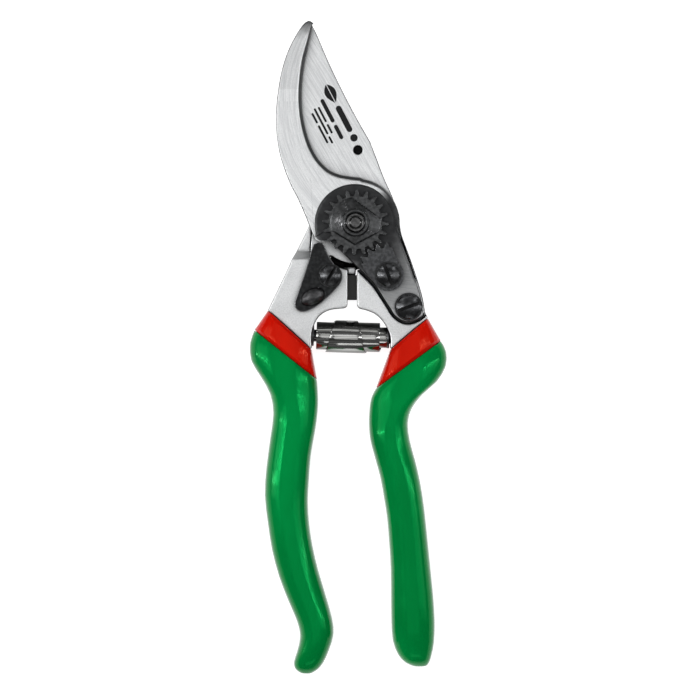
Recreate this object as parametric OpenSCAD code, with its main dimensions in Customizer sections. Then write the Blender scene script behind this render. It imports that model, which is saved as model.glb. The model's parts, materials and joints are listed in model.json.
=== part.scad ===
// Bypass pruner, closed and latched, lying flat on its back.
// +Z is the pivot axis and points to the nut side, +Y points to the tip of the blades,
// and the origin is on the pivot axis, on the surface that the pruner lies on.

/* [Blades] */
// Thickness of the cutting blade
blade_t = 2.95; // [2.5:0.05:3]
// Thickness of the counter blade at its tang
tang_t = 3.4; // [3:0.1:4]
// Thickness of the counter blade at its hook
hook_t = 2.6; // [2:0.1:2.8]
// Width of the ground bevel along the hook's inner edge
hook_bevel = 1.1; // [0.6:0.1:1.5]
// Height of the flat left at the hook's inner edge
hook_land = 0.9; // [0.5:0.1:1.2]
// Width of the cutting bevel on the back of the blade
edge_bevel = 4.5; // [3:0.5:6]
// Height of the flat left at the cutting edge
edge_land = 0.4; // [0.2:0.1:0.6]

/* [Pivot] */
// Radius of the pivot bolt's shank
bolt_r = 5; // [4:0.5:5.5]
// Radius of the bolt's threaded end
thread_r = 3; // [2.5:0.1:3.2]
// Radius of the bolt's head
bolt_head_r = 8.5; // [7:0.5:9]
// Number of teeth round the nut
nut_teeth = 20; // [20]
// Radius of the nut over its teeth
nut_tip_r = 10.9; // [10.7:0.1:11]
// Radius of the nut between its teeth
nut_root_r = 8.8; // [8.5:0.1:9]

/* [Handles] */
// Thickness of the aluminium handles
handle_t = 11; // [10.5:0.5:11.5]
// Thickness of the part of each handle that runs inside its grip
core_t = 7; // [5:0.5:8]
// Thickness of the grips
grip_t = 16; // [15:0.5:17]

/* [Fits] */
// Radial clearance of a running fit
run_gap = 0.05; // [0.02:0.01:0.1]
// Radial clearance of a fixed fit
fixed_gap = 0.02; // [0.01:0.01:0.05]
// Height of the gap under the thumb catch
catch_gap = 0.15; // [0.1:0.05:0.3]

/* [Hidden] */
$fn = 64;

// Heights above the surface that the pruner lies on
grip_mid = grip_t / 2;
back_z = 2;
hub_back_z = 2.6;
hub_z = 7;
plate_z = hub_z + blade_t + run_gap;
ledge_z = plate_z - run_gap;
tang_z = plate_z + tang_t;
face_z = back_z + handle_t;
catch_z = tang_z + catch_gap;
catch_t = 2.1;
segment_t = 2.2;

// Places in plan
segment_at = [10.7, -17.2];
tang_screw_at = [17.5, -27.7];
catch_at = [-8.3, -17.5];
rivets_at = [[-11.6, -9.7], [-10.9, 1.6]];
stop_left_x = -2.6;
stop_right_x = 0.5;

// Radii
blade_hub_r = 13.5;
plate_hub_r = 14.6;
clear_r = 15.4;
disc_r = 13;
screw_head_r = 4.3;
catch_head_r = 3.9;
segment_screw_r = 2;
tang_screw_r = 2.4;
catch_screw_r = 2;
rivet_r = 1.6;

// Smooth curve through points, with a number of steps between each two
function spline(p0, p1, p2, p3, t) =
    0.5 * (2 * p1 + (p2 - p0) * t + (2 * p0 - 5 * p1 + 4 * p2 - p3) * t * t
        + (3 * p1 - p0 - 3 * p2 + p3) * t * t * t);
function curve(points, steps) =
    let (last = len(points) - 1)
    [for (i = [0 : last - 1], k = [0 : steps - 1])
        spline(points[max(i - 1, 0)], points[i], points[i + 1], points[min(i + 2, last)], k / steps),
     points[last]];

// Points along an arc about a centre
function arc(centre, r, from, to, steps) =
    [for (k = [0 : steps])
        let (a = from + (to - from) * k / steps) centre + r * [cos(a), sin(a)]];

// A closed outline moved inwards (to the left of its direction) by a distance at each point
function side(p) = let (d = norm(p)) d > 0 ? [-p[1], p[0]] / d : [0, 0];
function inset(points, by) =
    let (n = len(points))
    [for (i = [0 : n - 1])
        points[i] + by[i] * side(points[(i + 1) % n] - points[(i + n - 1) % n])];
function same(value, points) = [for (p = points) value];
function reversed(list) = [for (i = [len(list) - 1 : -1 : 0]) list[i]];

module slab(outline, low, high) {
    translate([0, 0, low]) linear_extrude(high - low) polygon(outline);
}

module disc(at, r, low, high) {
    translate([at[0], at[1], low]) cylinder(r = r, h = high - low);
}

// A solid through rings that have equal numbers of points, each counter-clockwise from its far end
module loft(rings) {
    n = len(rings[0]);
    top = len(rings) - 1;
    polyhedron(
        points = [for (ring = rings, p = ring) p],
        faces = concat(
            [[for (k = [0 : n - 1]) k]],
            [for (i = [0 : top - 1], k = [0 : n - 1])
                let (a = i * n + k, b = i * n + (k + 1) % n) [a, a + n, b + n, b]],
            [[for (k = [0 : n - 1]) top * n + n - 1 - k]]
        )
    );
}

// Cutter for a bevel along a path that has the metal on its left: from the path at one
// height to a width inwards at another
module bevel(path, widths, path_height, inner_height) {
    last = len(path) - 1;
    spare = 0.5;
    clear_height = inner_height + spare * sign(inner_height - path_height);
    rings = [for (i = [0 : last])
        let (
            inwards = side(path[min(i + 1, last)] - path[max(i - 1, 0)]),
            outer = path[i] - spare * inwards,
            inner = path[i] + widths[i] * inwards
        )
        [[outer[0], outer[1], path_height], [path[i][0], path[i][1], path_height],
            [inner[0], inner[1], inner_height], [inner[0], inner[1], clear_height],
            [outer[0], outer[1], clear_height]]];
    loft(inner_height > path_height ? rings : [for (r = rings) reversed(r)]);
}

// ---------- Cutting blade ----------

blade_tip = [-14.7, 65.9];
blade_back = curve([
    [13.7, -1], [13.9, 3], [12.2, 8.6], [9.4, 14.8], [7.2, 20.6], [5.0, 26.3]
], 4);
blade_spine = curve([
    [4.9, 26.7], [0.6, 34.2], [-4.4, 43.7], [-8.9, 53.1], [-12.8, 62.2], blade_tip
], 5);
blade_edge = curve([
    [-15.6, 64.9], [-17.3, 60.5], [-19.2, 54], [-20.4, 46], [-20.5, 38.5], [-19.5, 31],
    [-17, 23.5], [-14.3, 17.5], [-13.2, 12]
], 5);
blade_hub_left = curve([[-13.2, 11.5], [-13.6, 5], [-14.4, -3], [-14.9, -8], [-14.6, -10.9],
    [-12.6, -12.9], [-10, -12.6], [-8.4, -10.9]], 3);
blade_hub_end = arc([0, 0], blade_hub_r, -126, -8, 22);
blade_outline = concat(blade_back, blade_spine, blade_edge, blade_hub_left, blade_hub_end);
edge_bevels = [for (k = [0 : len(blade_edge) - 1])
    edge_bevel * min(1, (k + 3) / 14) * min(1, (len(blade_edge) - k) / 9)];

module cutting_blade() {
    color("gainsboro") difference() {
        slab(blade_outline, hub_z, hub_z + blade_t);
        bevel(blade_edge, edge_bevels, hub_z + blade_t - edge_land, hub_z);
        disc([0, 0], bolt_r + run_gap, hub_z - 1, plate_z + 1);
        for (at = rivets_at) disc(at, rivet_r + fixed_gap, hub_z - 1, plate_z + 1);
        // Small blind hole near the spine
        disc([0.8, 24.1], 1.4, hub_z + blade_t - 1, plate_z + 1);
    }
}

module blade_rivets() {
    color("silver") for (at = rivets_at) disc(at, rivet_r, hub_back_z, hub_z + blade_t);
}

// ---------- Counter blade ----------

hook_tip = [-15, 66.7];
hook_inner = curve([
    [-14.1, 65.7], [-15.4, 59.5], [-16.8, 52.8], [-17.6, 46.5], [-17.8, 41], [-17.4, 35.5],
    [-16.3, 30], [-14.6, 25], [-12.2, 20.8], [-9, 17.6], [-5.6, 16], [-2, 15.3], [1.6, 14.9]
], 4);
plate_hub = arc([0, 0], plate_hub_r, 80, 6, 14);
plate_right = curve([
    [14.6, -0.6], [15.2, -4], [17.1, -9.2], [18.9, -14.2], [20.8, -20], [22.2, -25],
    [22.9, -29.4]
], 3);
tang_end = curve([
    [22.3, -30.6], [20.2, -31.9], [17.6, -32.6], [15.2, -32.2], [12.8, -30.5], [11.4, -28.3]
], 4);
tang_diagonal = curve([
    [9.2, -24.9], [6.6, -20.8], [4.5, -18.4], [0.8, -14.9], [-3.5, -10.6], [-8.4, -5.9]
], 3);
plate_corner = curve([[-11.8, -6.1], [-13.1, -5.5], [-13.9, -4.2], [-14.9, -1.9]], 3);
hook_outer = curve([
    [-16.2, 1.6], [-18.8, 7.6], [-21.1, 12], [-23.1, 16.8], [-25, 23], [-26, 29.5],
    [-26.2, 36], [-25.5, 43.5], [-24.2, 50.5], [-22.2, 56.6], [-19.6, 61.8], [-17, 65.6], hook_tip
], 4);
plate_outline = concat(
    hook_inner, plate_hub, plate_right, tang_end, tang_diagonal, plate_corner, hook_outer
);
// The bevel fades in from the hook's tip and out along the hub
hook_bevels = concat(
    [for (k = [0 : len(hook_inner) - 1]) hook_bevel * min(1, (k + 1) / 8)],
    [for (k = [0 : len(plate_hub) - 2]) hook_bevel * (1 - k / len(plate_hub))]
);
hook_edge = concat(hook_inner, [for (k = [0 : len(plate_hub) - 2]) plate_hub[k]]);
tang_outline = concat(
    arc([-0.3, -0.5], disc_r, 193, -4, 40),
    [for (p = plate_right) if (p[1] < -3) p + [-0.8, 0]],
    tang_end, tang_diagonal, curve([[-11.6, -5.9], [-12.6, -5.2], [-13.1, -4.2]], 3)
);

module counter_blade() {
    color("lightgray") difference() {
        union() {
            difference() {
                slab(plate_outline, plate_z, plate_z + hook_t);
                bevel(reversed(hook_edge), reversed(hook_bevels), plate_z + hook_land,
                    plate_z + hook_t);
            }
            slab(tang_outline, plate_z + 1, tang_z);
        }
        disc([0, 0], bolt_r + fixed_gap, plate_z - 1, tang_z + 1);
        disc(segment_at, segment_screw_r + fixed_gap, plate_z - 1, tang_z + 1);
        disc(tang_screw_at, tang_screw_r + fixed_gap, plate_z - 1, tang_z + 1);
    }
}

// ---------- Toothed nut, segment and screws ----------

nut_phase = 87.4;
tooth_pitch = 360 / nut_teeth;
// Angle of the first segment tooth, which falls between two teeth of the nut
segment_phase = 92.6;

// One tooth that points along +X, with a rounded tip
module tooth(root_r, tip_r, root_w, tip_w) {
    polygon([[root_r - 1, -root_w / 2], [root_r, -root_w / 2], [tip_r - tip_w / 2, -tip_w / 2],
        [tip_r - tip_w / 2, tip_w / 2], [root_r, root_w / 2], [root_r - 1, root_w / 2]]);
    translate([tip_r - tip_w / 2, 0]) circle(r = tip_w / 2);
}

// Plan of the nut's boss: round, with a flat for each pair of direction and distance
module flatted(r, flats) {
    difference() {
        circle(r = r);
        for (flat = flats)
            rotate(flat[0]) translate([flat[1], -r]) square([r, 2 * r]);
    }
}

module toothed_nut() {
    rim_t = 2;
    boss_t = 2.7;
    boss_r = 8.1;
    boss_flats = [[54, 5.8], [-62, 6.3], [-122, 6.3]];
    color("dimgray") difference() {
        union() {
            translate([0, 0, tang_z]) linear_extrude(rim_t) {
                circle(r = nut_root_r);
                for (k = [0 : nut_teeth - 1])
                    rotate(nut_phase + k * tooth_pitch) tooth(nut_root_r, nut_tip_r, 1.7, 1.05);
            }
            // Conical boss with three flats for a spanner
            intersection() {
                translate([0, 0, tang_z]) linear_extrude(boss_t) flatted(boss_r, boss_flats);
                translate([0, 0, tang_z + rim_t + 0.1])
                    cylinder(r1 = boss_r, r2 = boss_r - 4, h = boss_t - rim_t - 0.1);
            }
            disc([0, 0], 4.4, tang_z, tang_z + boss_t + 0.5);
        }
        disc([0, 0], thread_r + fixed_gap, tang_z - 1, tang_z + boss_t + 2);
        translate([0, 0, tang_z + boss_t]) cylinder(r1 = thread_r, r2 = thread_r + 0.7, h = 0.6);
    }
}

module toothed_segment() {
    root_r = 9;
    body_r = 5.2;
    first = segment_phase;
    color("dimgray") difference() {
        translate([segment_at[0], segment_at[1], tang_z]) linear_extrude(segment_t) {
            circle(r = body_r);
            polygon(concat(
                arc([0, 0], root_r, first - 11, first + 3 * tooth_pitch + 9, 20),
                [[-9.1, 4.2], [-7.9, 1.6], [-4.6, -2.4], [body_r, 0]]
            ));
            for (k = [0 : 3])
                rotate(first + k * tooth_pitch) tooth(root_r, 10.8, 2.1, 0.7);
        }
        disc(segment_at, segment_screw_r + fixed_gap, tang_z - 1, tang_z + segment_t + 1);
    }
}

// Slotted hexagonal screw with a domed head on a round flange
module slotted_screw(at, shank_r, head_r, foot_z, seat_z, slot_angle, corner_angle) {
    flange_h = 0.7;
    head_h = 1.9;
    dome_r = (head_r * head_r + head_h * head_h) / (2 * head_h) + 1.2;
    difference() {
        union() {
            disc(at, shank_r, foot_z, seat_z + flange_h / 2);
            disc(at, head_r, seat_z, seat_z + flange_h);
            intersection() {
                translate([at[0], at[1], seat_z + flange_h / 2]) rotate(corner_angle)
                    cylinder(r = head_r - 0.05, h = head_h, $fn = 6);
                translate([at[0], at[1], seat_z + head_h - dome_r]) sphere(r = dome_r);
            }
        }
        translate([at[0], at[1], seat_z + head_h]) rotate(slot_angle)
            cube([2 * head_r + 1, 1.1, 2], center = true);
    }
}

module segment_screw() {
    color("dimgray") slotted_screw(segment_at, segment_screw_r, screw_head_r,
        4.5, tang_z + segment_t, -68.6, 26);
}

module tang_screw() {
    color("dimgray") slotted_screw(tang_screw_at, tang_screw_r, screw_head_r + 0.3,
        4.5, tang_z, 19.2, 52);
}

module pivot_bolt() {
    end_z = tang_z + 2.9;
    color("dimgray") {
        // Low head on the back, chamfered all round
        cylinder(r1 = bolt_head_r - 1.6, r2 = bolt_head_r, h = 0.9);
        disc([0, 0], bolt_head_r, 0.9, hub_back_z);
        disc([0, 0], bolt_r, hub_back_z - 0.2, tang_z);
        disc([0, 0], thread_r, tang_z - 0.2, end_z);
        translate([0, 0, end_z]) cylinder(r1 = 2.2, r2 = 1.6, h = 0.5);
    }
}

// ---------- Thumb catch ----------

catch_outline = concat(
    [[-13.9, -7.2]],
    reversed(curve([
        [-18.9, -22.9], [-17.3, -18.2], [-15.6, -13.2], [-14.7, -9.6], [-14.1, -7.9]
    ], 3)),
    curve([
        [-19.6, -24.9], [-20.1, -26.9], [-19.3, -28.6], [-17.4, -29.4], [-14.6, -28.5],
        [-11.7, -26.7], [-9.1, -24.4], [-6.8, -22.1], [-5.1, -20.1], [-4.4, -18.3],
        [-4.6, -16.6], [-5.5, -15]
    ], 4),
    reversed(curve([[-10.6, -6.7], [-9.9, -8.6], [-8.3, -11.9], [-6.5, -14.3]], 3)),
    [[-12.3, -6.4]]
);
bump_at = [-14, -24.4];

module thumb_catch() {
    color("dimgray") difference() {
        union() {
            slab(catch_outline, catch_z, catch_z + catch_t);
            // Raised oval that the thumb pushes
            translate([bump_at[0], bump_at[1], catch_z + 0.5]) rotate(25.5) linear_extrude(3.4)
                scale([3.7, 2.3]) circle(r = 1);
        }
        disc(catch_at, catch_screw_r + run_gap, catch_z - 1, catch_z + catch_t + 1);
    }
}

module catch_screw() {
    color("dimgray") slotted_screw(catch_at, catch_screw_r, catch_head_r,
        5, catch_z + catch_t + run_gap, 56.3, 41);
}

module catch_washer() {
    color("silver") difference() {
        disc(catch_at, 3.4, face_z, catch_z);
        disc(catch_at, catch_screw_r + run_gap, face_z - 1, catch_z + 1);
    }
}

// ---------- Handles ----------

// Stations of each grip, from the collar to the end: outer x and y, inner x and y, thickness
left_collar_line = [-28.9, -28.8, -14.4, -41.9, grip_t - 1.6];
left_stations = [
    [-33.4, -35.2, -12.7, -51.6, grip_t - 0.6], [-34.9, -39.6, -12.4, -55.4, grip_t],
    [-34.5, -45.4, -12.3, -59.6, grip_t], [-31.3, -50.8, -12.6, -63.6, grip_t],
    [-28.2, -56.5, -13.1, -67.5, grip_t], [-27.2, -63, -13.9, -72, grip_t],
    [-28.2, -71, -14.8, -77.5, grip_t], [-29.5, -81, -15.4, -85.5, grip_t],
    [-30, -90, -15.7, -92, grip_t], [-29, -99, -15.3, -99, grip_t],
    [-27.6, -108, -14.2, -106.5, grip_t], [-25.2, -117, -12.2, -115, grip_t],
    [-22.1, -125, -9.8, -123, grip_t], [-19.3, -131.6, -7.7, -130.5, grip_t],
    [-18.3, -136.6, -7.2, -135.8, grip_t - 0.4], [-19.3, -141.4, -8.7, -141, grip_t - 1.4],
    [-20.4, -145, -10.5, -145, grip_t - 3.4], [-19.9, -147.3, -12.4, -147.4, grip_t - 6.5],
    [-18, -148.7, -14.7, -148.8, grip_t - 11]
];
right_collar_line = [23.9, -31.4, 11.4, -41.9, grip_t - 1.6];
right_stations = [
    [28.2, -38.8, 6.7, -54.6, grip_t - 0.6], [30, -42.3, 5.2, -57.6, grip_t],
    [29.9, -47.2, 4.6, -61.2, grip_t], [27, -52.2, 4.4, -65, grip_t],
    [22.3, -56.4, 4.5, -68.6, grip_t], [18.7, -61, 4.9, -71.8, grip_t],
    [17.3, -66, 5.7, -75, grip_t], [18, -72, 7, -79.6, grip_t],
    [19.8, -78.6, 8.3, -84.6, grip_t], [21.4, -85.6, 9.4, -90.8, grip_t],
    [22.7, -94, 10.4, -97.4, grip_t], [23.7, -103.4, 11.1, -105.6, grip_t],
    [24.6, -112.6, 11.6, -114, grip_t], [25.6, -122, 11.7, -122.5, grip_t],
    [26.2, -131, 11.8, -131, grip_t], [26, -138.4, 12.3, -138, grip_t - 1],
    [25.1, -142.9, 14.1, -142.6, grip_t - 3.4], [24.4, -145.1, 16.5, -145.2, grip_t - 7],
    [23.5, -146.4, 19.4, -146.5, grip_t - 12]
];
core_length = 11;

function outer_point(s, share) = [s[0], s[1]] + share * [s[2] - s[0], s[3] - s[1]];

// The bar that runs inside a grip, from a little above the collar line
function core_outline(line, stations, grow) =
    let (
        above = line + [0, 1.5, 0, 1.5, 0],
        all = concat([above, line], [for (i = [0 : core_length]) stations[i]]),
        rails = curve(all, 2),
        share = 0.23 - grow / 15
    )
    concat(
        [for (s = rails) outer_point(s, share)],
        [for (s = reversed(rails)) outer_point(s, 1 - share)]
    );

left_head = concat(
    curve([
        [-13.2, 3.5], [-15.1, -0.3], [-16.8, -4], [-19.8, -10], [-23.3, -17.2], [-26.4, -23.7],
        [-28.9, -28.8]
    ], 3),
    curve([
        [-14.4, -41.9], [-14.4, -36.2], [-12.9, -32], [-10.8, -29.8], [-8.1, -28.6], [-4.6, -28.2]
    ], 4),
    arc([stop_left_x - 1.5, -26.7], 1.5, -75, 0, 5),
    [[stop_left_x, -15.4], [-4, -13.5], [0, -11], [0, 0]]
);
left_face = concat(
    curve([[-20.8, -11.9], [-23.3, -17.2], [-26.4, -23.7], [-28.9, -28.8]], 3),
    [for (p = left_head) if (p[1] < -26 && p[0] > -20 || p[0] == stop_left_x) p],
    arc([0, 0], clear_r + 0.3, -102, -131, 8)
);
right_head = concat(
    [[15.2, -6.8]],
    curve([
        [16, -8.2], [17.6, -12.2], [19.2, -16.8], [20.8, -21.8], [22.2, -27.2], [23.9, -31.4]
    ], 3),
    curve([
        [11.4, -41.9], [11.5, -38], [10.4, -34.6], [8.6, -31.9], [6.1, -29.8], [2.9, -28.6]
    ], 4),
    arc([stop_right_x + 1.5, -26.9], 1.5, -105, -180, 5),
    [[stop_right_x, -15.4]],
    arc([0, 0], clear_r, -86, -26, 14)
);

module left_handle() {
    core = core_outline(left_collar_line, left_stations, 0);
    ramp_top = [[-21, -12], [-15, -12], [-15, -13], [-21.4, -13]];
    ramp_foot = [[-19.4, -9.2], [-14, -9.2], [-15, -13], [-21.4, -13]];
    color("whitesmoke") difference() {
        union() {
            disc([0, 0], blade_hub_r - 0.3, hub_back_z, hub_z);
            difference() {
                slab(left_head, back_z, ledge_z);
                disc([0, 0], blade_hub_r + 0.1, hub_z, ledge_z + 1);
                slab(inset(blade_hub_pocket, same(-0.1, blade_hub_pocket)), hub_z, ledge_z + 1);
                disc([0, 0], bolt_head_r + 0.6, back_z - 1, hub_back_z);
                // Gap beside the blade's hub on the inner side
                slab([[-7, -10], [-8.9, -12.6], [-4.4, -14.8], [stop_left_x + 1, -15.2], [2, -10]],
                    hub_z, ledge_z + 1);
            }
            slab(left_face, ledge_z, face_z);
            hull() {
                slab(ramp_top, face_z - 0.02, face_z);
                slab(ramp_foot, ledge_z, ledge_z + 0.02);
            }
            slab(core, grip_mid - core_t / 2, grip_mid + core_t / 2);
            // Lug above the cushion, and the web that joins it to the hub
            translate([stop_left_x - 1, -17.1, 3.5]) cube([3.7, 2.6, 6]);
            slab(concat([[-8, -9]], arc([0, 0], clear_r - 0.2, -118, -68, 10), [[4, -9]]),
                hub_back_z, 4.6);
        }
        disc([0, 0], bolt_r + run_gap, 0, ledge_z + 1);
        for (at = rivets_at) disc(at, rivet_r + fixed_gap, 0, ledge_z + 1);
        disc(catch_at, catch_screw_r + fixed_gap, 4.8, face_z + 1);
        cushion_block(fixed_gap);
        along_spring(-3.2) cylinder(r = stud_r + fixed_gap, h = 6);
        along_spring(-1) cylinder(r = stud_flange_r + 1.2, h = 6);
    }
}

module right_handle() {
    core = core_outline(right_collar_line, right_stations, 0);
    plan = reversed(plate_outline);
    color("whitesmoke") difference() {
        union() {
            slab(right_head, back_z, ledge_z);
            difference() {
                slab(right_head, ledge_z - 0.1, face_z);
                slab(inset(plan, same(-0.8, plan)), ledge_z, face_z + 1);
                disc([0, 0], clear_r + 0.3, ledge_z, face_z + 1);
            }
            slab(core, grip_mid - core_t / 2, grip_mid + core_t / 2);
        }
        disc(segment_at, segment_screw_r + fixed_gap, 4.3, ledge_z + 1);
        disc(tang_screw_at, tang_screw_r + fixed_gap, 4.3, ledge_z + 1);
        along_spring(spring_length - 2.8) cylinder(r = stud_r + fixed_gap, h = 6);
        along_spring(spring_length - 5) cylinder(r = stud_flange_r + 1.2, h = 6);
    }
}

// The part of the blade's tang that drops into the left handle
blade_hub_pocket = concat([[-4, 4], [-11, 6]], [for (p = blade_hub_left) if (p[1] < 6) p], [[-4, -8]]);

// ---------- Collars and grips ----------

section_sides = 28;

// A rounded oblong ring that stands across a grip at a station
function ring(s, power) =
    let (
        middle = [s[0] + s[2], s[1] + s[3]] / 2,
        half = [s[0] - s[2], s[1] - s[3]] / 2
    )
    [for (k = [0 : section_sides - 1])
        let (
            a = 360 * k / section_sides,
            u = sign(cos(a)) * pow(abs(cos(a)), 2 / power),
            w = sign(sin(a)) * pow(abs(sin(a)), 2 / power)
        )
        [middle[0] + half[0] * u, middle[1] + half[1] * u, grip_mid + w * s[4] / 2]];

module grip(line, stations, turn) {
    rings = [for (s = curve(stations, 2)) ring(s, 2.6)];
    core = core_outline(line, stations, 0.15);
    difference() {
        loft(turn ? [for (r = rings) reversed(r)] : rings);
        slab(core, grip_mid - core_t / 2 - 0.05, grip_mid + core_t / 2 + 0.05);
    }
}

module collar(line, stations, turn) {
    end = stations[0];
    rings = [for (k = [0 : 4])
        let (s = line + (end - line) * k / 4, swell = sin(45 * k))
        ring(s + [0, 0, 0, 0, 0.3 * swell], 4 - k * 0.35)];
    core = core_outline(line, stations, 0.15);
    difference() {
        loft(turn ? [for (r = rings) reversed(r)] : rings);
        slab(core, grip_mid - core_t / 2 - 0.05, grip_mid + core_t / 2 + 0.05);
    }
}

module left_grip() { color("forestgreen") grip(left_collar_line, left_stations, true); }
module right_grip() { color("forestgreen") grip(right_collar_line, right_stations, false); }
module left_collar() { color("red") collar(left_collar_line, left_stations, true); }
module right_collar() { color("red") collar(right_collar_line, right_stations, false); }

// ---------- Spring, studs and cushion ----------

left_seat = [-14.5, -37.1];
right_seat = [11.2, -37.9];
spring_length = norm(right_seat - left_seat);
spring_tilt = atan2(right_seat[1] - left_seat[1], right_seat[0] - left_seat[0]);
stud_r = 2;
stud_flange_r = 3.5;

// Puts a child's z axis along the spring, at a distance from the left seat
module along_spring(at) {
    translate([left_seat[0], left_seat[1], face_z / 2 + 1]) rotate(spring_tilt)
        translate([at, 0, 0]) rotate([0, 90, 0]) children();
}

module stud(flange_at, post_from, post_length) {
    color("dimgray") {
        along_spring(flange_at) cylinder(r = stud_flange_r, h = 0.8);
        along_spring(post_from) cylinder(r = stud_r, h = post_length);
    }
}

module left_spring_stud() { stud(0, -3, 7.5); }
module right_spring_stud() { stud(spring_length - 0.8, spring_length - 4, 6.5); }

// Envelope of the volute spring: a hollow stepped barrel
module return_spring() {
    from = 0.85;
    to = spring_length - 0.85;
    color("silver") along_spring(0) rotate_extrude() polygon([
        [2.4, from], [4.7, from], [4.7, 7], [5.3, 7], [5.3, 15.4], [5, 15.4], [5, 22],
        [3.3, 22], [3.3, to], [2.4, to]
    ]);
}

module cushion_block(grow) {
    translate([stop_left_x - 1.5 - grow, -25.4 - grow, 4 - grow])
        cube([4.55 + grow, 8.2 + 2 * grow, 7 + 2 * grow]);
}

module cushion() { color("black") cushion_block(0); }

left_handle();
right_handle();
left_grip();
right_grip();
left_collar();
right_collar();
counter_blade();
cutting_blade();
blade_rivets();
pivot_bolt();
toothed_nut();
toothed_segment();
segment_screw();
tang_screw();
thumb_catch();
catch_screw();
catch_washer();
left_spring_stud();
right_spring_stud();
return_spring();
cushion();
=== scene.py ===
"""Looks of a bypass pruner that lies closed on a pale floor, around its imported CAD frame."""
import json
import math

import bmesh
import bpy
from mathutils import Matrix, Vector
from mathutils.bvhtree import BVHTree


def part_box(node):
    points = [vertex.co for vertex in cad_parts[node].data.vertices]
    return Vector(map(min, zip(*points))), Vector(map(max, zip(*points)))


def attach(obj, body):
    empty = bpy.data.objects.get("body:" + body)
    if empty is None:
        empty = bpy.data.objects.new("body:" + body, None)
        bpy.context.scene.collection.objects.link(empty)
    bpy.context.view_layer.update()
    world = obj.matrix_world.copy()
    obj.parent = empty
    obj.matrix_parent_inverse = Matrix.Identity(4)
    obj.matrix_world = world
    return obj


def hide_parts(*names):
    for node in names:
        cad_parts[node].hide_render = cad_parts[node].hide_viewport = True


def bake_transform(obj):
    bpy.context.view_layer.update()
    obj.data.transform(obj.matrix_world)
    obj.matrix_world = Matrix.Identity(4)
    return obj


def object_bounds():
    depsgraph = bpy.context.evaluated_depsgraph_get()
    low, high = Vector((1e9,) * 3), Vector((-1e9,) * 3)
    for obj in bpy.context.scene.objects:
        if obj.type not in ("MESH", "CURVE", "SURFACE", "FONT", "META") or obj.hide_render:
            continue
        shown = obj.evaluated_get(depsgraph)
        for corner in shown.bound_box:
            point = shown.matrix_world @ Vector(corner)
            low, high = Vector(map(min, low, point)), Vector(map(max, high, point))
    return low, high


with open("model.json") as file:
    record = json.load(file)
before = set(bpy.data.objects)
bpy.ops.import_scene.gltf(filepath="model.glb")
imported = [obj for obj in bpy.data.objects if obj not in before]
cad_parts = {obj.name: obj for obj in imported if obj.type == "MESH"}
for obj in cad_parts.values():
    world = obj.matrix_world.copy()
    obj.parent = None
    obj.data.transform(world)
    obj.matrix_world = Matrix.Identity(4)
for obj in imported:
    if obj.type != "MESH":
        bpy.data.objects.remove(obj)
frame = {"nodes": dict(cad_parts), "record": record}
cad_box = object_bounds()

MM = 0.001
RECORD = frame["record"]
BODY_OF = {n: b for b, names in RECORD["behaviour"]["bodies"].items() for n in names}


# ---------- Shader helpers ----------

def new_material(name, color, metallic, roughness):
    """A material with its node tree and its main shader."""
    made = bpy.data.materials.new(name)
    made.use_nodes = True
    shader = made.node_tree.nodes["Principled BSDF"]
    shader.inputs["Base Color"].default_value = (*color, 1)
    shader.inputs["Metallic"].default_value = metallic
    shader.inputs["Roughness"].default_value = roughness
    return made, made.node_tree, shader


def add(tree, kind, inputs=(), **settings):
    """A node with its settings and the values or links of its inputs."""
    made = tree.nodes.new(kind)
    for key, value in settings.items():
        setattr(made, key, value)
    for key, value in dict(inputs).items():
        if isinstance(value, bpy.types.NodeSocket):
            tree.links.new(value, made.inputs[key])
        else:
            made.inputs[key].default_value = value
    return made


def place(tree, scale=(1, 1, 1), turn=0.0):
    """Coordinates of the piece in metres, turned about Z and scaled."""
    where = add(tree, "ShaderNodeTexCoord").outputs["Object"]
    turned = add(tree, "ShaderNodeMapping", {"Vector": where, "Rotation": (0, 0, turn)})
    return add(tree, "ShaderNodeMapping", {"Vector": turned.outputs[0], "Scale": scale}).outputs[0]


def noise(tree, where, scale=1.0, detail=3.0, rough=0.5):
    """A noise pattern's value."""
    return add(tree, "ShaderNodeTexNoise",
               {"Vector": where, "Scale": scale, "Detail": detail, "Roughness": rough}).outputs[0]


def ramp(tree, value, low, high, to_low=0.0, to_high=1.0, smooth=True):
    """A value's range from low to high, mapped to another range and held at its ends."""
    kind = "SMOOTHSTEP" if smooth else "LINEAR"
    return add(tree, "ShaderNodeMapRange", {
        "Value": value, "From Min": low, "From Max": high, "To Min": to_low, "To Max": to_high,
    }, interpolation_type=kind).outputs[0]


def maths(tree, operation, a, b=0.0):
    """The result of one sum."""
    return add(tree, "ShaderNodeMath", {0: a, 1: b}, operation=operation).outputs[0]


def mix(tree, factor, a, b):
    """Mixes two colours, each a triple or a socket."""
    made = tree.nodes.new("ShaderNodeMix")
    made.data_type = "RGBA"
    for socket, value in ((made.inputs[0], factor), (made.inputs[6], a), (made.inputs[7], b)):
        if isinstance(value, bpy.types.NodeSocket):
            tree.links.new(value, socket)
        elif isinstance(value, tuple):
            socket.default_value = (*value, 1)
        else:
            socket.default_value = value
    return made.outputs[2]


def dimmed(tree, color, tone):
    """A colour multiplied by a grey tone."""
    grey = add(tree, "ShaderNodeCombineXYZ", {0: tone, 1: tone, 2: tone}).outputs[0]
    made = tree.nodes.new("ShaderNodeMix")
    made.data_type = "RGBA"
    made.blend_type = "MULTIPLY"
    made.inputs[0].default_value = 1.0
    tree.links.new(color, made.inputs[6])
    tree.links.new(grey, made.inputs[7])
    return made.outputs[2]


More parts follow.
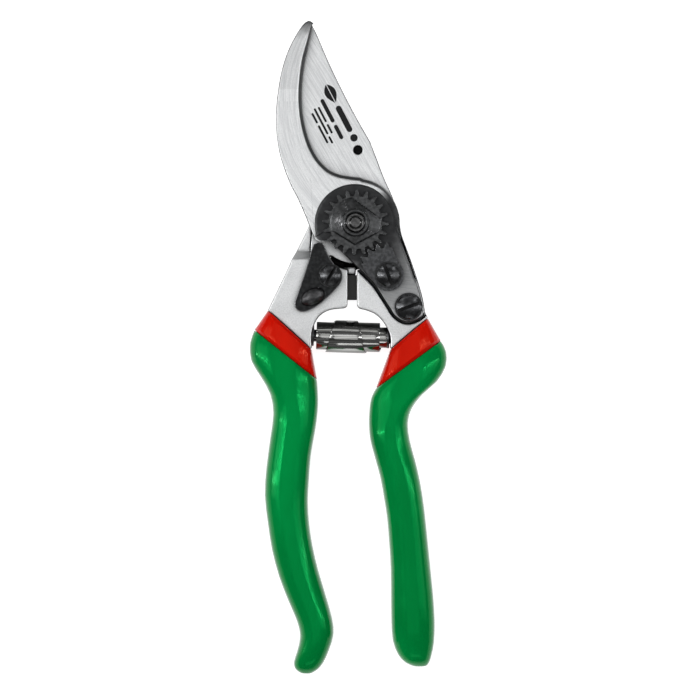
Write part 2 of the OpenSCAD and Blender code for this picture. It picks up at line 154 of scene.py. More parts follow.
def shadowed(tree, shader, color, side, steep, crevice, reach=1.0, start=0.0, shut=0.2, wide=0.85):
    """Paints shade into a colour: darkens it to a share on the faces that stand on edge, and by a
    share in crevices.

    The colour comes back as the normal's upright part goes from start to steep. A crevice is looked
    for within reach, in mm, and opens as the free part of its surroundings goes from shut to wide.
    """
    normal = add(tree, "ShaderNodeTexCoord").outputs["Normal"]
    up = maths(tree, "ABSOLUTE", add(tree, "ShaderNodeSeparateXYZ", {0: normal}).outputs[2])
    hollow = add(tree, "ShaderNodeAmbientOcclusion", {"Distance": reach * MM}, samples=6)
    clear = ramp(tree, hollow.outputs["AO"], shut, wide, 1.0 - crevice, 1.0)
    tone = maths(tree, "MULTIPLY", ramp(tree, up, start, steep, side, 1.0), clear)
    tree.links.new(dimmed(tree, color, tone), shader.inputs["Base Color"])


def plan_distance(tree, x, y, centre=(0.0, 0.0)):
    """Distance in plan from a centre in mm, and its parts along X and Y."""
    dx = maths(tree, "SUBTRACT", x, centre[0] * MM)
    dy = maths(tree, "SUBTRACT", y, centre[1] * MM)
    squares = [maths(tree, "POWER", part, 2.0) for part in (dx, dy)]
    return maths(tree, "SQRT", maths(tree, "ADD", *squares)), dx, dy


def bump(tree, shader, height, strength, depth):
    """Gives the shader a fine relief."""
    made = add(tree, "ShaderNodeBump", {"Height": height, "Strength": strength, "Distance": depth})
    tree.links.new(made.outputs[0], shader.inputs["Normal"])


# ---------- Materials ----------

# Ground steel: the colours along its grain, and its roughness
STEEL_LIGHT = (0.86, 0.87, 0.875)
STEEL_DARK = (0.62, 0.63, 0.64)
STEEL_ROUGH = 0.38

# The hook's grain curves about this place in plan at about this radius, in mm
HOOK_GRAIN = (24.0, 40.0)
GRAIN_RADIUS = 45

# Places along Y, in mm: the faint line across the hook, and the grime on its tip
HOOK_LINE = (43.6, 44.4)
TIP_GRIME = (62, 69)

# Distances from the pivot, in mm, over which the black skin ends round the centre, and over which a
# painted dark reflection fades out on the tang
CENTRE_SKIN = (13, 20)
TANG_PAINTED_REFLECTION = (14, 40)

# Colours of the black skin, used also for the painted dark reflection on the tang
SKIN_AND_SHADE_DARK = (0.022, 0.0225, 0.0235)
SKIN_AND_SHADE_LIGHT = (0.060, 0.061, 0.063)

# Pale grey of blackened steel where the black has come off, used also for painted highlight and
# glint
WORN_AND_HIGHLIGHT_GREY = (0.30, 0.30, 0.31)


def round_grain(tree, centre):
    """Coordinates whose X is the distance from a centre in plan, for grain that curves about it."""
    x, y, z = add(tree, "ShaderNodeSeparateXYZ", {0: place(tree)}).outputs
    away, dx, dy = plan_distance(tree, x, y, centre)
    round_it = maths(tree, "MULTIPLY", maths(tree, "ARCTAN2", dy, dx), GRAIN_RADIUS * MM)
    return add(tree, "ShaderNodeCombineXYZ", {0: away, 1: round_it, 2: z}).outputs[0]


def ground_steel(name, turn=0.0, centre=None, reach=1.2, shut=0.2, wide=0.85):
    """Steel ground in one direction: turn brings that direction onto the pattern's Y."""
    made, tree, shader = new_material(name, STEEL_LIGHT, 1.0, STEEL_ROUGH)
    grain = round_grain(tree, centre) if centre else place(tree, turn=turn)

    def along(scale, **settings):
        stretched = add(tree, "ShaderNodeMapping", {"Vector": grain, "Scale": scale}).outputs[0]
        return noise(tree, stretched, **settings)

    broad = along((1500, 40, 1500), detail=4)
    fine = along((7000, 160, 7000), detail=3, rough=0.65)
    cloud = along((70, 50, 70), detail=3)
    grit = noise(tree, place(tree), 2600, 3)
    streak = maths(tree, "ADD", maths(tree, "MULTIPLY", broad, 0.35),
                   maths(tree, "MULTIPLY", fine, 0.65))
    tone = maths(tree, "MULTIPLY", ramp(tree, streak, 0.38, 0.6),
                 ramp(tree, grit, 0.3, 0.6, 0.55, 1.0))
    shadowed(tree, shader, mix(tree, tone, STEEL_DARK, STEEL_LIGHT), side=0.10, steep=0.985,
             crevice=0.85, reach=reach, start=0.65, shut=shut, wide=wide)
    blur = maths(tree, "ADD", ramp(tree, cloud, 0.3, 0.7, STEEL_ROUGH - 0.05, STEEL_ROUGH + 0.05),
                 maths(tree, "MULTIPLY", fine, 0.08))
    tree.links.new(blur, shader.inputs["Roughness"])
    bump(tree, shader, streak, 0.3, 0.02 * MM)
    return made, tree, shader


def counter_blade_material(raised_z):
    """Ground steel whose raised centre keeps its black skin, with a painted dark reflection that
    fades out along the tang.
    """
    made, tree, shader = ground_steel("counter_blade_steel", centre=HOOK_GRAIN)
    x, y, z = add(tree, "ShaderNodeSeparateXYZ", {0: place(tree)}).outputs
    radius = plan_distance(tree, x, y)[0]
    grain = noise(tree, place(tree, (500, 500, 500)), detail=5)
    reach = maths(tree, "ADD", radius, maths(tree, "MULTIPLY", grain, 2 * MM))
    centre = maths(tree, "MULTIPLY",
                   ramp(tree, reach, CENTRE_SKIN[0] * MM, CENTRE_SKIN[1] * MM, 1.0, 0.0),
                   ramp(tree, z, raised_z + 0.05 * MM, raised_z + 0.2 * MM))
    # Painted dark reflection on the tang, fading out away from the pivot
    beside = maths(tree, "SUBTRACT", x, maths(tree, "MULTIPLY", y, 0.45))
    tang_painted_reflection = maths(tree, "MULTIPLY", ramp(tree, beside, 1 * MM, 8 * MM),
                  ramp(tree, reach, TANG_PAINTED_REFLECTION[0] * MM, TANG_PAINTED_REFLECTION[1] * MM, 1.0, 0.3, smooth=False))
    black = maths(tree, "MAXIMUM", centre, tang_painted_reflection)
    # The hook is a little darker above a faint line, and grimy at its very tip
    upper = ramp(tree, y, HOOK_LINE[0] * MM, HOOK_LINE[1] * MM, 1.0, 0.88)
    tip = ramp(tree, maths(tree, "ADD", y, maths(tree, "MULTIPLY", grain, 4 * MM)),
               TIP_GRIME[0] * MM, TIP_GRIME[1] * MM, 1.0, 0.12)
    clean = shader.inputs["Base Color"].links[0].from_socket
    steel = dimmed(tree, clean, maths(tree, "MULTIPLY", upper, tip))
    # The black skin's colours, painted also as the dark reflection on the tang
    skin = mix(tree, grain, SKIN_AND_SHADE_DARK, SKIN_AND_SHADE_LIGHT)
    tree.links.new(mix(tree, black, steel, skin), shader.inputs["Base Color"])
    blur = shader.inputs["Roughness"].links[0].from_socket
    tree.links.new(maths(tree, "ADD", blur, maths(tree, "MULTIPLY", black, 0.12)),
                   shader.inputs["Roughness"])
    return made


def black_steel(name, color, rough, worn_and_lit_edges=(0.52, 0.60), scuff_and_glint=None):
    """Blackened steel with a soft gloss, paler on its edges and at one spot of scuffing.

    Edges turn pale over a range of pointedness, partly as wear and partly as a painted highlight.
    The spot, x, y and radius in mm, is partly scuffing and partly a painted glint.
    """
    made, tree, shader = new_material(name, color, 1.0, rough)
    where = place(tree)
    grain = noise(tree, where, 900, 5)
    mottle = noise(tree, where, 160, 3)
    # Pale edges: partly wear, partly a painted highlight along them
    worn_and_highlight = ramp(tree, add(tree, "ShaderNodeNewGeometry").outputs["Pointiness"], *worn_and_lit_edges)
    worn_and_highlight = maths(tree, "MULTIPLY", worn_and_highlight, ramp(tree, mottle, 0.3, 0.6, 0.35, 1.0))
    # A spot of scuffing that also carries a painted glint
    if scuff_and_glint:
        x, y, _ = add(tree, "ShaderNodeSeparateXYZ", {0: where}).outputs
        away = plan_distance(tree, x, y, scuff_and_glint)[0]
        scratch = noise(tree, place(tree, (2200, 700, 2200), 0.3), detail=4)
        scuff_and_glint_patch = maths(tree, "MULTIPLY", ramp(tree, away, 0.0, scuff_and_glint[2] * MM, 1.0, 0.0),
                      ramp(tree, scratch, 0.50, 0.60))
        worn_and_highlight = maths(tree, "MAXIMUM", worn_and_highlight, scuff_and_glint_patch)
    deep = tuple(c * 1.9 for c in color)
    base = mix(tree, ramp(tree, grain, 0.35, 0.7), color, deep)
    shadowed(tree, shader, mix(tree, worn_and_highlight, base, WORN_AND_HIGHLIGHT_GREY), side=0.5, steep=0.5, crevice=0.85)
    tree.links.new(ramp(tree, mottle, 0.25, 0.75, rough - 0.04, rough + 0.06),
                   shader.inputs["Roughness"])
    bump(tree, shader, grain, 0.12, 0.03 * MM)
    return made


def cast_aluminium():
    """Blasted and tumbled aluminium: an even satin grey with fine grain."""
    made, tree, shader = new_material("satin_aluminium", (0.80, 0.81, 0.82), 0.9, 0.42)
    where = place(tree)
    grain = noise(tree, where, 4200, 4, 0.6)
    speck = noise(tree, where, 2600, 4, 0.6)
    cloud = noise(tree, where, 90, 3)
    pits = maths(tree, "ADD", maths(tree, "MULTIPLY", cloud, 0.4),
                 maths(tree, "MULTIPLY", speck, 0.6))
    metal = mix(tree, ramp(tree, pits, 0.36, 0.62), (0.60, 0.61, 0.615), (0.77, 0.78, 0.785))
    shadowed(tree, shader, metal, side=0.2, steep=0.97, crevice=0.85, reach=2.0, start=0.35)
    tree.links.new(ramp(tree, grain, 0.3, 0.7, 0.36, 0.5), shader.inputs["Roughness"])
    bump(tree, shader, grain, 0.2, 0.04 * MM)
    return made


def dipped_plastic(name, color, dark, tint, rough):
    """Glossy plastic with a faint flow pattern, whose highlights take up its colour."""
    made, tree, shader = new_material(name, color, 0.0, rough)
    where = place(tree, (1, 0.35, 1))
    flow = noise(tree, where, 70, 3)
    peel = noise(tree, where, 750, 2)
    speck = noise(tree, place(tree), 3000, 2)
    shadowed(tree, shader, mix(tree, ramp(tree, flow, 0.35, 0.7), dark, color),
             side=0.7, steep=0.6, crevice=0.5)
    tree.links.new(ramp(tree, speck, 0.3, 0.75, rough - 0.03, rough + 0.08),
                   shader.inputs["Roughness"])
    shader.inputs["Specular IOR Level"].default_value = 0.35
    shader.inputs["Specular Tint"].default_value = (*tint, 1)
    shader.inputs["Subsurface Weight"].default_value = 0.04
    shader.inputs["Subsurface Radius"].default_value = (0.3 * MM, 0.6 * MM, 0.3 * MM)
    bump(tree, shader, peel, 0.06, 0.05 * MM)
    return made


def polished_steel():
    """Bright steel strip, drawn along its length."""
    made, tree, shader = new_material("polished_spring_steel", (0.80, 0.80, 0.79), 1.0, 0.12)
    drawn = noise(tree, place(tree, (40, 2600, 2600)), 1.0, 4)
    metal = mix(tree, ramp(tree, drawn, 0.35, 0.65), (0.20, 0.20, 0.19), (0.58, 0.58, 0.57))
    shadowed(tree, shader, metal, side=0.12, steep=0.9, crevice=0.8)
    tree.links.new(ramp(tree, drawn, 0.3, 0.7, 0.07, 0.14), shader.inputs["Roughness"])
    bump(tree, shader, drawn, 0.08, 0.02 * MM)
    return made


def plain_rubber():
    """Matt black rubber."""
    made, tree, shader = new_material("black_rubber", (0.012, 0.012, 0.012), 0.0, 0.62)
    grain = noise(tree, place(tree), 2200, 4)
    tree.links.new(mix(tree, grain, (0.007, 0.007, 0.007), (0.022, 0.022, 0.021)),
                   shader.inputs["Base Color"])
    tree.links.new(ramp(tree, grain, 0.3, 0.7, 0.5, 0.7), shader.inputs["Roughness"])
    bump(tree, shader, grain, 0.25, 0.05 * MM)
    return made


def printed_ink():
    """Black ink, slightly uneven."""
    made, tree, shader = new_material("printed_ink", (0.008, 0.008, 0.009), 0.0, 0.5)
    patchy = noise(tree, place(tree), 2600, 4)
    tree.links.new(mix(tree, ramp(tree, patchy, 0.45, 0.75), (0.004, 0.004, 0.005),
                       (0.022, 0.022, 0.024)), shader.inputs["Base Color"])
    shader.inputs["Specular IOR Level"].default_value = 0.2
    tree.links.new(ramp(tree, patchy, 0.3, 0.7, 0.38, 0.55), shader.inputs["Roughness"])
    return made


# ---------- Mesh helpers ----------

# Corners of the CAD mesh closer than this, in mm, are one; faces within this angle are one
MERGE = 0.0015
FLAT = math.radians(0.6)

# Edges with a steeper turn than this get a bevel
SHARP = math.radians(32)


def new_piece(name, mesh, body):
    """A new object on a body."""
    made = bpy.data.objects.new(name, mesh)
    bpy.context.scene.collection.objects.link(made)
    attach(made, body)
    return made


def solid_of(node):
    """The CAD node's solids as one mesh of merged corners and whole flat faces."""
    work = bmesh.new()
    work.from_mesh(frame["nodes"][node].data)
    bmesh.ops.remove_doubles(work, verts=work.verts, dist=MERGE * MM)
    bmesh.ops.dissolve_limit(work, angle_limit=FLAT, verts=work.verts, edges=work.edges)
    return work


def finished_mesh(work, name):
    """Turns the working mesh into a mesh and frees it."""
    mesh = bpy.data.meshes.new(name)
    work.to_mesh(mesh)
    work.free()
    return mesh


def bake(piece):
    """Applies the piece's modifiers to its mesh."""
    shown = piece.evaluated_get(bpy.context.evaluated_depsgraph_get())
    mesh = bpy.data.meshes.new_from_object(shown)
    piece.modifiers.clear()
    piece.data = mesh


def shade(piece, sharp):
    """Smooth shading that stops at edges sharper than an angle in degrees."""
    piece.data.shade_smooth()
    piece.data.set_sharp_from_angle(angle=math.radians(sharp))


def paint(piece, *materials):
    """Gives the piece these materials and no others."""
    piece.data.materials.clear()
    for one in materials:
        piece.data.materials.append(one)


def stand_in(node, work):
    """A piece that takes the place of a CAD node, on its body."""
    piece = new_piece(node + "_finished", finished_mesh(work, node), BODY_OF[node])
    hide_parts(node)
    return piece


def edged(node, width, material, segments=2, edit=None, spared=()):
    """A CAD node with its sharp edges broken by a small bevel, but not at the spared places.

    edit changes the solid first. A spared place is x, y, radius in plan, in mm.
    """
    work = solid_of(node)
    if edit:
        edit(work)
    skin = BVHTree.FromBMesh(work)

    def is_spared(vert):
        return any((vert.co.xy - Vector(spot[:2]) * MM).length < spot[2] * MM for spot in spared)

    weight = work.edges.layers.float.new("bevel_weight_edge")
    for edge in work.edges:
        sharp = len(edge.link_faces) == 2 and edge.calc_face_angle() > SHARP
        edge[weight] = float(sharp and not any(is_spared(v) for v in edge.verts))
    piece = stand_in(node, work)
    cut = piece.modifiers.new("edges", "BEVEL")
    cut.width = width * MM
    cut.segments = segments
    cut.limit_method = "WEIGHT"
    cut.use_clamp_overlap = False
    piece.data.shade_smooth()
    even = piece.modifiers.new("even", "WEIGHTED_NORMAL")
    even.weight = 100
    even.keep_sharp = True
    bake(piece)
    # A bevel that runs off past an acute corner is drawn back to the solid
    for vert in piece.data.vertices:
        near, _, _, away = skin.find_nearest(vert.co)
        if away > width * MM:
            vert.co = near
    paint(piece, material)
    return piece


def resurface(piece, voxel, passes, keep=1.0):
    """Replaces a piece's mesh with one even, softened skin, keeping a share of its faces."""
    skin = piece.modifiers.new("skin", "REMESH")
    skin.mode = "VOXEL"
    skin.voxel_size = voxel * MM
    soft = piece.modifiers.new("soft", "SMOOTH")
    soft.factor = 0.5
    soft.iterations = passes
    if keep < 1:
        thin = piece.modifiers.new("thin", "DECIMATE")
        thin.ratio = keep
    bake(piece)


def forged(node, voxel, passes, material, keep=1.0):
    """A CAD node with all its edges rounded, as forging or moulding leaves them."""
    piece = stand_in(node, solid_of(node))
    resurface(piece, voxel, passes, keep)
    paint(piece, material)
    piece.data.shade_smooth()
    return piece


# ---------- Pieces ----------

# The cutting blade's long crevice reach paints a soft shade beside the hook's edge
blade_steel = ground_steel("cutting_blade_steel", -0.545, reach=3.8, shut=0.35, wide=0.96)[0]
rivet_steel = ground_steel("rivet_steel")[0]
black = black_steel("black_steel", (0.044, 0.045, 0.047), 0.28)
screw_black = black_steel("screw_steel", (0.045, 0.046, 0.048), 0.26, (0.56, 0.8))
bolt_black = black_steel("bolt_steel", (0.055, 0.055, 0.055), 0.2)
# The nut's pale spot left of the bolt is a painted glint on scuffed metal
nut_black = black_steel("nut_steel", (0.042, 0.043, 0.044), 0.28, (0.55, 0.7), (-5.2, 0.2, 3.0))
# A darker copy of the screw steel for the screws' flanges: painted shade
shaded_flange_black = black_steel("flange_painted_shade_steel", (0.022, 0.0225, 0.023), 0.3, (0.9, 1.0))
# A lighter copy of the catch's steel for its dome: painted light
lit_dome_black = black_steel("dome_painted_light_steel", (0.06, 0.06, 0.062), 0.36, (0.9, 1.0))
# The catch's low range gives it a thin pale outline, partly a painted highlight
catch_black = black_steel("catch_steel", (0.016, 0.0165, 0.017), 0.3, (0.507, 0.54))
# Black painted as shade in the screw slots, the blind hole and the gap beside the hub
painted_shade_black = black_steel("painted_shade_black", (0.008, 0.008, 0.008), 0.6)
aluminium = cast_aluminium()
green = dipped_plastic("green_grip", (0.0, 0.262, 0.053), (0.0, 0.198, 0.038),
                       (0.03, 1.0, 0.25), 0.12)
red = dipped_plastic("red_collar", (0.68, 0.008, 0.002), (0.58, 0.005, 0.001),
                     (1.0, 0.2, 0.1), 0.1)

# Heights of the counter blade's raised centre and tang, and of its hook's face below them
PLATE_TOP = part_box("counter_blade")[1].z
HOOK_FACE = PLATE_TOP - 0.8 * MM


# Ends of each collar's upper and lower seam in plan, in mm
SEAMS = {
    "left": (((-28.9, -28.8), (-14.4, -41.9)), ((-33.4, -35.2), (-12.7, -51.6))),
    "right": (((23.9, -31.4), (11.4, -41.9)), ((28.2, -38.8), (6.7, -54.6))),
}
# The step's depth in mm, and its start and width as shares of the way from seam to seam
COLLAR_STEP = 0.5
STEP_START = 0.05
STEP_WIDTH = 0.08


def off_line(spot, line):
    """Distance in plan from a line through two places."""
    a, b = (Vector(p) * MM for p in line)
    way = (b - a).normalized()
    rel = spot - a
    return abs(rel.x * way.y - rel.y * way.x)


def ridged_collar(side):
    """A collar with a step down to each seam."""
    piece = forged(side + "_collar", 0.25, 3, red)
    middle = (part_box(side + "_collar")[0].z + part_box(side + "_collar")[1].z) / 2
    for vert in piece.data.vertices:
        upper, lower = (off_line(vert.co.xy, line) for line in SEAMS[side])
        share = upper / max(upper + lower, 1e-9)
        rise = min(1.0, max(0.0, (min(share, 1 - share) - STEP_START) / STEP_WIDTH))
        drop = COLLAR_STEP * MM * (1 - rise * rise * (3 - 2 * rise))
        vert.co.z -= math.copysign(min(drop, abs(vert.co.z - middle)), vert.co.z - middle)


# A gap in the left handle beside the blade's hub, painted black as shade: range of x, y and z, in
# mm
SHADED_GAP = ((-9.5, 2.5), (-15.6, -9.0), (0.0, 8.2))


def build_handles():
    """Both handles with their collars and grips."""
    for side in ("left", "right"):
        handle = forged(side + "_handle", 0.3, 9, aluminium, 0.5)
        if side == "left":
            # The gap beside the hub is painted black as shade
            handle.data.materials.append(painted_shade_black)
            for face in handle.data.polygons:
                if all(low * MM < at < high * MM for at, (low, high) in zip(face.center, SHADED_GAP)):
                    face.material_index = 1
        ridged_collar(side)
        forged(side + "_grip", 0.5, 6, green)


# Places on the counter blade where two edges nearly meet, in mm: x, y, radius
ACUTE_CORNERS = ((-10.8, -6.0, 2.8), (14.4, 3.0, 1.1))

# Middle and reach of the small blind hole in the cutting blade, in mm
BLIND_HOLE = (0.8, 24.1)
BLIND_HOLE_R = 1.45

# The tang's right flank lies below this y and right of the line x + slope * y = offset, in mm
FLANK_TOP = -2.0
FLANK_SLOPE = 0.42
FLANK_OFFSET = 11.6
FLANK_CHAMFER = 0.9


def chamfer_tang(work):
    """Breaks the upper right edge of the tang with a broad chamfer."""
    def on_flank(vert):
        x, y, z = vert.co
        return (z > PLATE_TOP - 0.01 * MM and y < FLANK_TOP * MM
                and x + FLANK_SLOPE * y > FLANK_OFFSET * MM)

    tang_painted_reflection = [e for e in work.edges if all(on_flank(v) for v in e.verts)]
    bmesh.ops.bevel(work, geom=tang_painted_reflection, offset=FLANK_CHAMFER * MM, offset_type="OFFSET", segments=1,
                    affect="EDGES", clamp_overlap=False)


def build_blades():
    """The cutting blade with its blind hole painted black as shade, the counter blade and the
    rivets.
    """
    blade = edged("cutting_blade", 0.4, blade_steel, 1)
    blade.data.materials.append(painted_shade_black)
    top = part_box("cutting_blade")[1].z
    # The blind hole's inside is painted black as shade
    for face in blade.data.polygons:
        away = (face.center.xy - Vector(BLIND_HOLE) * MM).length
        if away < BLIND_HOLE_R * MM and face.center.z < top - 0.02 * MM:
            face.material_index = 1
    edged("counter_blade", 0.4, counter_blade_material(HOOK_FACE), 1, chamfer_tang, ACUTE_CORNERS)
    edged("blade_rivets", 0.05, rivet_steel)


# Depths of the screws' slot floors and flanges below their tops, in mm
SLOT_DEPTH = 1.0
FLANGE_DEPTH = 1.2


def build_pivot():
    """The nut, its segment and bolt, the screws with slots painted black as shade, and the small
    parts.
    """
    forged("toothed_nut", 0.14, 5, nut_black)
    forged("toothed_segment", 0.12, 2, black)
    forged("pivot_bolt", 0.14, 3, bolt_black)
    for node in ("segment_screw", "tang_screw", "catch_screw"):
        screw = stand_in(node, solid_of(node))
        paint(screw, screw_black, painted_shade_black, shaded_flange_black)
        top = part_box(node)[1].z
        for face in screw.data.polygons:
            # Slot floors are painted black as shade
            if face.normal.z > 0.99 and abs(face.center.z - top + SLOT_DEPTH * MM) < 0.1 * MM:
                face.material_index = 1
            # Flanges take the darker copy of the steel as painted shade
            elif face.normal.z > 0.99 and abs(face.center.z - top + FLANGE_DEPTH * MM) < 0.1 * MM:
                face.material_index = 2
        shade(screw, 12)
    edged("catch_washer", 0.05, rivet_steel)
    for side in ("left", "right"):
        edged(side + "_spring_stud", 0.2, black)


# The catch's raised oval in plan: middle, half lengths and turn, and its height, in mm
DOME_AT = (-14.0, -24.4)
DOME_HALF = (3.7, 2.3)
DOME_TURN = 25.5
DOME_H = 1.8

# How far the doming reaches as a share of the oval, its height as a share, and its two powers
DOME_REACH = 1.12
DOME_SHARE = 0.97
DOME_POWERS = (2.4, 0.75)


def build_catch():
    """The latch, whose raised oval gets a domed top."""
    piece = forged("thumb_catch", 0.15, 3, catch_black)
    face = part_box("thumb_catch")[1].z - DOME_H * MM
    turned = Matrix.Rotation(math.radians(-DOME_TURN), 2)

    def off_middle(spot):
        """Distance in plan from the oval's middle, as a share of the oval."""
        local = turned @ (spot.xy - Vector(DOME_AT) * MM)
        return math.hypot(local.x / DOME_HALF[0], local.y / DOME_HALF[1]) / MM

    for vert in piece.data.vertices:
        reach = off_middle(vert.co)
        if vert.co.z > face - 0.3 * MM and reach < DOME_REACH:
            rise = max(0.0, 1 - (reach / DOME_REACH) ** DOME_POWERS[0]) ** DOME_POWERS[1]
            vert.co.z = face + DOME_H * MM * rise * DOME_SHARE
    resurface(piece, 0.15, 5)
    # The dome takes a lighter copy of the catch's steel as painted light
    paint(piece, catch_black, lit_dome_black)
    for polygon in piece.data.polygons:
        if polygon.center.z > face - 0.1 * MM and off_middle(polygon.center) < 1.06:
            polygon.material_index = 1
    piece.data.shade_smooth()


def build_cushion():
    """The black block that the handles close on."""
    forged("cushion", 0.15, 5, plain_rubber(), 0.6)


# The spring's strip: turn, left and right edge along the axis in mm, outer radius in mm
STRIP = [
    (-1.0, 0.9, 10.2, 4.6), (-0.5, 0.9, 10.2, 4.6), (-0.25, 3.3, 9.3, 4.95),
    (0.0, 7.6, 14.2, 5.4), (0.25, 5.4, 15.8, 5.4), (0.5, 4.0, 17.2, 5.4),
    (0.75, 9.6, 19.5, 5.2), (1.0, 11.9, 21.8, 4.85), (1.5, 12.5, 21.8, 4.85),
    (1.75, 16.0, 23.4, 4.2), (2.0, 17.8, 24.9, 3.4), (2.5, 18.5, 24.9, 3.4),
]

# The strip's thickness in mm, and the steps in each of its turns
STRIP_T = 0.5
STEPS_A_TURN = 56


def strip_at(turn):
    """Interpolates the strip's edges and radius at a turn."""
    for a, b in zip(STRIP, STRIP[1:]):
        if turn <= b[0]:
            t = (turn - a[0]) / (b[0] - a[0])
            return [p + (q - p) * t for p, q in zip(a[1:], b[1:])]
    return list(STRIP[-1][1:])


def wound_strip(start, along):
    """The strip's mesh and each corner's share of the way along its turns."""
    up = Vector((0, 0, 1))
    top = up.cross(along)
    first, last = STRIP[0][0], STRIP[-1][0]
    count = round((last - first) * STEPS_A_TURN)
    work = bmesh.new()
    rows = []
    shares = []
    for k in range(count + 1):
        turn = first + (last - first) * k / count
        left, right, outer = strip_at(turn)
        inner = outer - STRIP_T
        angle = 2 * math.pi * turn
        out = top * math.cos(angle) + up * math.sin(angle)
        rows.append([work.verts.new(start + along * (at * MM) + out * (r * MM))
                     for at, r in ((left, outer), (right, outer), (right, inner), (left, inner))])
        shares += [(turn - first) / (last - first)] * 4
    for a, b in zip(rows, rows[1:]):
        for i in range(4):
            j = (i + 1) % 4
            work.faces.new((a[i], a[j], b[j], b[i]))
    work.faces.new(rows[0][::-1])
    work.faces.new(rows[-1])
    bmesh.ops.recalc_face_normals(work, faces=work.faces)
    return finished_mesh(work, "volute_strip"), shares


def build_spring():
    """A double volute: one strip, widest and outermost in the middle, wound towards both ends."""
    left_low, left_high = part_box("left_spring_stud")
    right_low, right_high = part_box("right_spring_stud")
    start = (left_low + left_high) / 2
    along = ((right_low + right_high) / 2 - start).normalized()
    spring_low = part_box("return_spring")[0]
    start = start + along * ((spring_low.x - start.x) / along.x)
    mesh, shares = wound_strip(start, along)
    piece = bpy.data.objects.new("volute_spring", mesh)
    bpy.context.scene.collection.objects.link(piece)
    mesh.attributes.new("turn_share", "FLOAT", "POINT").data.foreach_set("value", shares)
    cut = piece.modifiers.new("edges", "BEVEL")
    cut.width = 0.1 * MM
    cut.segments = 2
    cut.limit_method = "ANGLE"
    cut.angle_limit = math.radians(40)
    bake(piece)
    paint(piece, polished_steel())
    shade(piece, 40)
    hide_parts("return_spring")
    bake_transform(piece)
    # Each corner's share of the turns is read back; nothing uses it further
    shares = [0.0] * len(piece.data.vertices)
    piece.data.attributes["turn_share"].data.foreach_get("value", shares)


# The mark's bars: start, distance from the mark's middle line, length and thickness, in mm
MARK_BARS = [
    (8.0, 0.0, 9.6, 1.9), (3.6, -3.6, 8.6, 1.3), (13.2, -3.6, 5.2, 1.3), (5.4, -5.7, 5.6, 0.7),
    (11.8, -5.7, 3.4, 0.7), (5.2, -7.1, 9.6, 0.7), (15.6, -7.1, 2.6, 0.7), (6.2, -8.5, 3.8, 0.7),
    (10.8, -8.5, 6.6, 0.7),
]

# The mark's start on the blade in mm, and the direction of its lines
MARK_AT = (-9.7, 45.7, 0)
MARK_ALONG = (0.463, -0.886, 0)
MARK_ACROSS = (0.886, 0.463, 0)

# The ink's underside and top above the blade's face, in mm
INK_LAYERS = (-0.05, 0.012)

# The leaf: length, half width, half the gap at its rib, and steps along its edge
LEAF_LENGTH = 6.8
LEAF_WIDTH = 1.75
LEAF_RIB = 0.14
LEAF_STEPS = 14


def build_mark():
    """A plain printed mark on the cutting blade: a leaf, a dot and bars."""
    face_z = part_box("cutting_blade")[1].z
    start = Vector(MARK_AT) * MM
    along = Vector(MARK_ALONG)
    across = Vector(MARK_ACROSS)
    work = bmesh.new()

    def flat(outline):
        """A thin layer of ink with this outline."""
        spots = [start + along * (u * MM) + across * (v * MM) for u, v in outline]
        low, high = ([work.verts.new((p.x, p.y, face_z + h * MM)) for p in spots]
                     for h in INK_LAYERS)
        work.faces.new(low[::-1])
        work.faces.new(high)
        for i in range(len(spots)):
            j = (i + 1) % len(spots)
            work.faces.new((low[i], low[j], high[j], high[i]))

    def bar(u, v, length, thickness):
        """A bar with round ends."""
        r = thickness / 2
        arc = [math.pi * k / 8 for k in range(9)]
        flat([(u + length - r + r * math.sin(t), v - r * math.cos(t)) for t in arc]
             + [(u + r - r * math.sin(t), v + r * math.cos(t)) for t in arc])

    def half_leaf(part):
        """The half of the leaf on one side of its rib: part is 1 or -1."""
        edge = [(0.0, part * LEAF_RIB)]
        for k in range(1, LEAF_STEPS):
            t = k / LEAF_STEPS
            bulge = LEAF_WIDTH * math.sin(math.pi * t ** 0.85)
            edge.append((LEAF_LENGTH * t, part * (LEAF_RIB + bulge)))
        flat(edge + [(LEAF_LENGTH, part * LEAF_RIB)])

    half_leaf(1)
    half_leaf(-1)
    bar(18.6, 0.0, 2.5, 2.5)
    for line in MARK_BARS:
        bar(*line)
    bmesh.ops.recalc_face_normals(work, faces=work.faces)
    piece = new_piece("blade_mark", finished_mesh(work, "blade_mark"), "left_half")
    paint(piece, printed_ink())


# ---------- Stage ----------

# The camera looks straight down on this square of the floor, in mm, through a long lens
VIEW_MIDDLE = (-2.475, -41.25)
VIEW_WIDTH = 229.7
VIEW_HEIGHT = 10
LENS = 200
SENSOR = 36

# Floor: size in m, drop below the tool in mm, grey, own light
FLOOR_SIZE = 6
FLOOR_DROP = 0.02
FLOOR_GREY = (0.4, 0.4, 0.4)
FLOOR_GLOW = 0.9
SKY_GLOW = 0.12

# Softboxes: name, place about the tool's middle in m, width, length, radiance
LAMPS = [
    ("zenith_card", (0.0, 0.0, 1.8), 1.1, 1.1, 0.95),
    ("left_box", (-0.95, 0.1, 0.95), 0.5, 1.2, 2.7),
    ("left_strip", (-1.15, 0.0, 0.95), 0.04, 1.5, 26.0),
    ("right_box", (0.95, 0.0, 1.0), 0.3, 1.2, 2.2),
    ("right_strip", (1.0, 0.1, 1.05), 0.03, 1.3, 22.0),
    ("left_card", (-0.72, 0.86, 1.0), 0.22, 0.22, 9.0),
    ("right_card", (0.75, 0.83, 1.0), 0.22, 0.22, 9.0),
    ("top_box", (0.0, 1.1, 0.9), 1.0, 0.35, 0.9),
    ("foot_box", (0.1, -1.2, 0.9), 0.8, 0.3, 1.6),
]


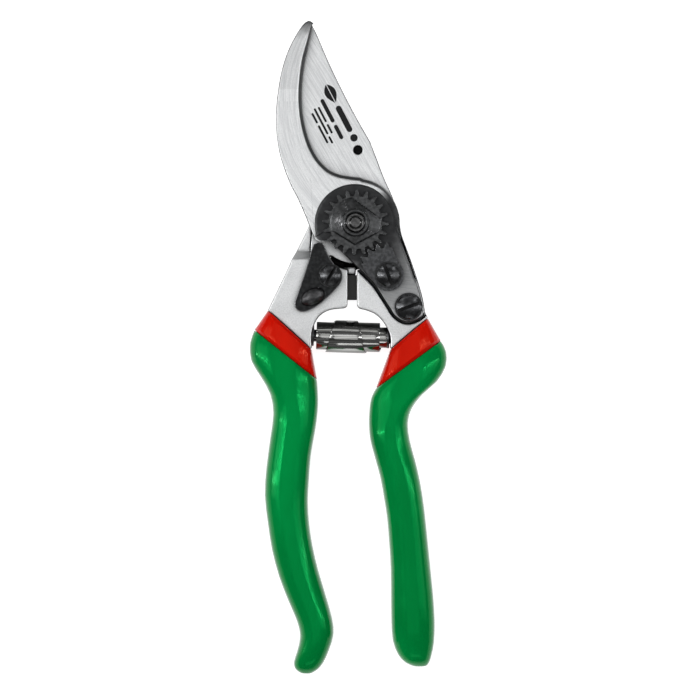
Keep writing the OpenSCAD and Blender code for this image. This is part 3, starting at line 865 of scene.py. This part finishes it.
def build_floor(middle, low):
    """A white floor that glows a little, so that it stays white under soft light."""
    spot = (middle.x, middle.y, low.z - FLOOR_DROP * MM)
    bpy.ops.mesh.primitive_plane_add(size=FLOOR_SIZE, location=spot)
    floor = bpy.context.object
    floor.name = "floor"
    made, _, shader = new_material("floor_white", FLOOR_GREY, 0.0, 0.9)
    shader.inputs["Emission Color"].default_value = (1, 1, 1, 1)
    shader.inputs["Emission Strength"].default_value = FLOOR_GLOW
    shader.inputs["Specular IOR Level"].default_value = 0.0
    floor.data.materials.append(made)


def build_lamp(middle, name, at, width, length, radiance):
    """A softbox that faces the middle of the tool; its power follows from its radiance."""
    data = bpy.data.lights.new(name, "AREA")
    data.shape = "RECTANGLE"
    data.size = width
    data.size_y = length
    data.energy = radiance * math.pi * width * length
    made = bpy.data.objects.new(name, data)
    bpy.context.scene.collection.objects.link(made)
    made.location = middle + Vector(at)
    made.rotation_euler = (middle - made.location).to_track_quat("-Z", "Y").to_euler()
    made.visible_camera = False


def build_stage():
    """The floor, the studio light and the camera."""
    low, high = cad_box
    middle = (low + high) / 2
    build_floor(middle, low)

    world = bpy.data.worlds.new("studio")
    bpy.context.scene.world = world
    world.use_nodes = True
    sky = world.node_tree.nodes["Background"]
    sky.inputs["Color"].default_value = (1, 1, 1, 1)
    sky.inputs["Strength"].default_value = SKY_GLOW
    for settings in LAMPS:
        build_lamp(middle, *settings)

    camera_data = bpy.data.cameras.new("camera")
    camera_data.lens = LENS
    camera_data.sensor_width = SENSOR
    camera_data.clip_end = 20
    camera = bpy.data.objects.new("camera", camera_data)
    bpy.context.scene.collection.objects.link(camera)
    distance = VIEW_WIDTH * MM * LENS / SENSOR
    camera.location = (VIEW_MIDDLE[0] * MM, VIEW_MIDDLE[1] * MM, VIEW_HEIGHT * MM + distance)
    camera.rotation_euler = (0, 0, 0)
    bpy.context.scene.camera = camera
    bpy.context.scene.view_settings.view_transform = "Standard"


build_handles()
build_blades()
build_pivot()
build_catch()
build_cushion()
build_spring()
build_mark()
build_stage()
